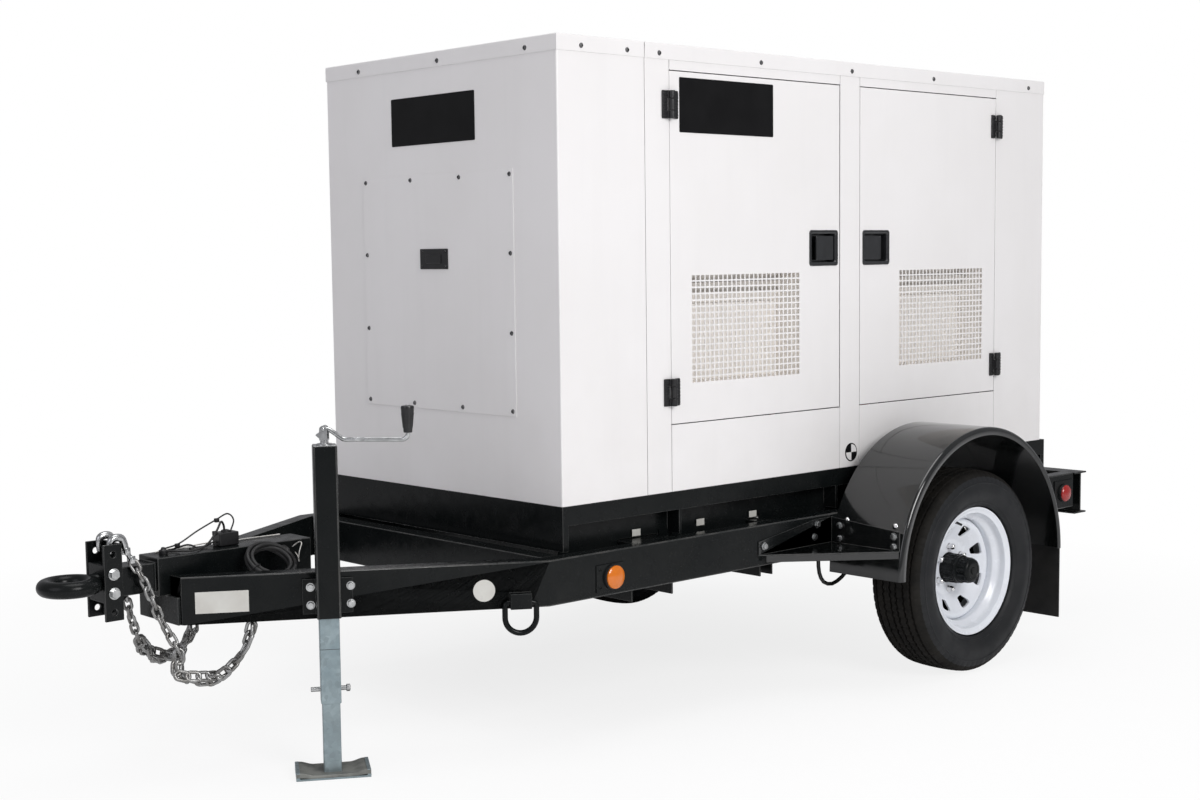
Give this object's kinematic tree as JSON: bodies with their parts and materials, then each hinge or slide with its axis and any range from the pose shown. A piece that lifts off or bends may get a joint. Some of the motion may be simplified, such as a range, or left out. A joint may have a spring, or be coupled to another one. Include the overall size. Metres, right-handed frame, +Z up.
{
  "type": "towable diesel generator",
  "caption": "Canopied diesel generator set on a single-axle trailer with fenders, a lunette tow eye and a drop-leg side jack; canopy doors swing open.",
  "frame": {"origin": "on the ground under the middle of the trailer's length and width", "axes": "+X towards the rear, away from the tow eye; +Y towards the trailer's right-hand side; +Z up"},
  "size_m": [3.829, 1.784, 1.9595],
  "materials": {
    "canopy_paint": "semi-gloss",
    "frame_paint": "gloss",
    "rim_paint": "gloss",
    "tyre_rubber": "matte",
    "flap_rubber": "matte",
    "galvanised": "galvanised",
    "zinc": "zinc plated",
    "black_plastic": "matte",
    "engine_iron": "painted casting",
    "alloy": "aluminised",
    "cable_rubber": "satin"
  },
  "bodies": {
    "chassis": {"left_rail": "frame_paint", "right_rail": "frame_paint", "front_cross_member": "frame_paint", "cross_member_1": "frame_paint", "cross_member_2": "frame_paint", "drawbar_tube": "frame_paint", "coupler_channel": "frame_paint", "lunette_eye": "frame_paint", "rear_bumper": "frame_paint", "axle_beam": "frame_paint", "left_fender": "frame_paint", "right_fender": "frame_paint", "left_step_bracket": "frame_paint", "right_step_bracket": "frame_paint", "jack_outer_tube": "frame_paint", "skid_base": "frame_paint", "radiator": "frame_paint", "alternator": "frame_paint", "left_mudflap": "flap_rubber", "right_mudflap": "flap_rubber", "left_safety_chain": "zinc", "right_safety_chain": "zinc", "battery": "black_plastic", "trailer_plug": "black_plastic", "breakaway_switch": "black_plastic", "front_box": "canopy_paint", "front_access_panel": "canopy_paint", "front_roof": "canopy_paint", "main_roof": "canopy_paint", "left_side": "canopy_paint", "right_side": "canopy_paint", "rear_wall": "canopy_paint", "control_cabinet": "canopy_paint", "engine": "engine_iron", "silencer": "alloy", "trailer_cable": "cable_rubber", "trailer_cable_coil": "cable_rubber"},
    "left_wheel": {"left_tyre": "tyre_rubber", "left_rim": "rim_paint", "left_hub": "frame_paint"},
    "right_wheel": {"right_tyre": "tyre_rubber", "right_rim": "rim_paint", "right_hub": "frame_paint"},
    "jack_inner": {"jack_ram": "galvanised", "jack_leg": "galvanised"},
    "drop_leg_pin": {"leg_pin": "zinc"},
    "crank_shaft": {"crank_head": "zinc"},
    "crank": {"crank_handle": "zinc"},
    "grip": {"crank_grip": "black_plastic"},
    "left_tie_ring": {"left_ring": "frame_paint"},
    "right_tie_ring": {"right_ring": "frame_paint"},
    "fan": {"cooling_fan": "black_plastic"},
    "left_front_leaf": {"left_front_door": "canopy_paint"},
    "left_front_paddle": {"left_front_door_latch": "black_plastic"},
    "left_rear_leaf": {"left_rear_door": "canopy_paint"},
    "left_rear_paddle": {"left_rear_door_latch": "black_plastic"},
    "right_front_leaf": {"right_front_door": "canopy_paint"},
    "right_front_paddle": {"right_front_door_latch": "black_plastic"},
    "right_rear_leaf": {"right_rear_door": "canopy_paint"},
    "right_rear_paddle": {"right_rear_door_latch": "black_plastic"}
  },
  "joints": [
    {"name": "left_wheel_spin", "type": "hinge", "parent": "chassis", "child": "left_wheel", "pos_m": [0.8605, -0.786, 0.328], "axis": [0, 1, 0], "continuous": true},
    {"name": "right_wheel_spin", "type": "hinge", "parent": "chassis", "child": "right_wheel", "pos_m": [0.8605, 0.786, 0.328], "axis": [0, 1, 0], "continuous": true},
    {"name": "jack_slide", "type": "slide", "parent": "chassis", "child": "jack_inner", "axis": [0, 0, 1], "range_m": [-0.1, 0.18]},
    {"name": "crank_spin", "type": "hinge", "parent": "chassis", "child": "crank_shaft", "pos_m": [-1.27153, -0.33605, 0.874], "axis": [0, 0, 1], "range_deg": [-3602, 6482]},
    {"name": "crank_fold", "type": "hinge", "parent": "crank_shaft", "child": "crank", "pos_m": [-1.27153, -0.33605, 0.918], "axis": [-0.749, -0.6626, 0], "range_deg": [0, 90]},
    {"name": "crank_grip_spin", "type": "hinge", "parent": "crank", "child": "grip", "pos_m": [-1.12443, -0.50232, 0.908], "axis": [0, 0, 1], "continuous": true},
    {"name": "leg_pin_slide", "type": "slide", "parent": "jack_inner", "child": "drop_leg_pin", "axis": [0.8549, -0.5187, 0], "range_m": [0, 0.1]},
    {"name": "left_ring_swing", "type": "hinge", "parent": "chassis", "child": "left_tie_ring", "pos_m": [-0.81669, -0.57921, 0.427], "axis": [-0.8549, 0.5187, 0], "range_deg": [0, 100]},
    {"name": "right_ring_swing", "type": "hinge", "parent": "chassis", "child": "right_tie_ring", "pos_m": [-0.81669, 0.57921, 0.427], "axis": [0.8549, 0.5187, 0], "range_deg": [0, 100]},
    {"name": "fan_spin", "type": "hinge", "parent": "chassis", "child": "fan", "pos_m": [-0.1185, 0, 1.11], "axis": [1, 0, 0], "continuous": true},
    {"name": "left_front_door_swing", "type": "hinge", "parent": "chassis", "child": "left_front_leaf", "pos_m": [-0.2025, -0.561, 0.664], "axis": [0, 0, 1], "range_deg": [-150, 0]},
    {"name": "left_front_latch_pull", "type": "hinge", "parent": "left_front_leaf", "child": "left_front_paddle", "pos_m": [0.5375, -0.543, 1.372], "axis": [0, 0, 1], "range_deg": [0, 40], "stiffness_Nm_per_rad": 0.5, "springref_deg": -20.05},
    {"name": "left_rear_door_swing", "type": "hinge", "parent": "chassis", "child": "left_rear_leaf", "pos_m": [1.4195, -0.561, 0.664], "axis": [0, 0, 1], "range_deg": [0, 150]},
    {"name": "left_rear_latch_pull", "type": "hinge", "parent": "left_rear_leaf", "child": "left_rear_paddle", "pos_m": [0.6955, -0.543, 1.372], "axis": [0, 0, 1], "range_deg": [-40, 0], "stiffness_Nm_per_rad": 0.5, "springref_deg": 20.05},
    {"name": "right_front_door_swing", "type": "hinge", "parent": "chassis", "child": "right_front_leaf", "pos_m": [-0.2025, 0.561, 0.664], "axis": [0, 0, 1], "range_deg": [0, 150]},
    {"name": "right_front_latch_pull", "type": "hinge", "parent": "right_front_leaf", "child": "right_front_paddle", "pos_m": [0.5375, 0.543, 1.372], "axis": [0, 0, 1], "range_deg": [-40, 0], "stiffness_Nm_per_rad": 0.5, "springref_deg": 20.05},
    {"name": "right_rear_door_swing", "type": "hinge", "parent": "chassis", "child": "right_rear_leaf", "pos_m": [1.4195, 0.561, 0.664], "axis": [0, 0, 1], "range_deg": [-150, 0]},
    {"name": "right_rear_latch_pull", "type": "hinge", "parent": "right_rear_leaf", "child": "right_rear_paddle", "pos_m": [0.6955, 0.543, 1.372], "axis": [0, 0, 1], "range_deg": [0, 40], "stiffness_Nm_per_rad": 0.5, "springref_deg": -20.05}
  ],
  "couplings": [
    {"joint": "crank_spin", "follows": "jack_slide", "rad_per_m": 628.32}
  ]
}
